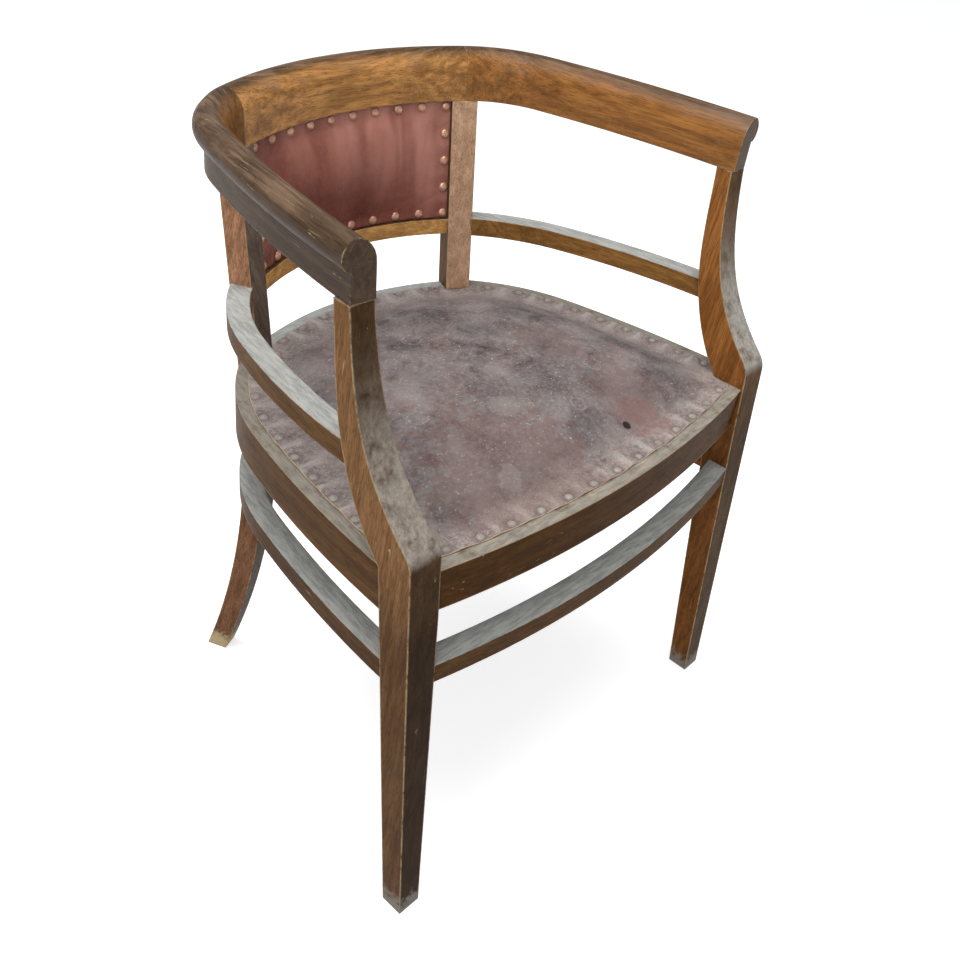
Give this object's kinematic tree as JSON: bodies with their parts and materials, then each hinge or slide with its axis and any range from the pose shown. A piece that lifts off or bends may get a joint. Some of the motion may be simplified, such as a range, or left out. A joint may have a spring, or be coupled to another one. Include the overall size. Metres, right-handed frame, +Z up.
{
  "type": "tub chair",
  "caption": "Oak tub chair with a moulded horseshoe bow, swept arm posts, splayed rear legs and stretchers, a padded nailed leather back panel and a crowned leather seat.",
  "frame": {"origin": "on the floor, under the middle of the chair's box", "axes": "+Z up, the front of the chair faces -Y, +X to the sitter's left"},
  "size_m": [0.6018, 0.5079, 0.7385],
  "materials": {
    "oak": "satin",
    "inner_wood": "matte",
    "seat_leather": "matte",
    "back_leather": "satin",
    "brass_nails": "satin",
    "screw_steel": "satin",
    "jute": "matte",
    "hessian": "matte",
    "hair": "matte"
  },
  "bodies": {
    "root": {"crest_rail": "oak", "arm_left": "oak", "arm_right": "oak", "front_leg_left": "oak", "front_leg_right": "oak", "back_leg_left": "oak", "back_leg_right": "oak", "mid_rail_left": "oak", "mid_rail_right": "oak", "back_lower_rail": "oak", "seat_rail_front": "oak", "seat_rail_left": "oak", "seat_rail_right": "oak", "seat_rail_back": "oak", "stretcher_front": "oak", "stretcher_left": "oak", "stretcher_right": "oak", "stretcher_back": "oak", "bow_dowels": "inner_wood", "corner_blocks": "inner_wood", "back_board": "inner_wood", "block_screws": "screw_steel", "webbing_long": "jute", "webbing_cross": "jute", "seat_hessian": "hessian", "seat_stuffing": "hair", "back_stuffing": "hair", "seat_leather": "seat_leather", "back_leather": "back_leather", "back_outer_leather": "back_leather", "seat_nails": "brass_nails", "back_nails": "brass_nails", "back_outer_nails": "brass_nails"}
  },
  "joints": []
}
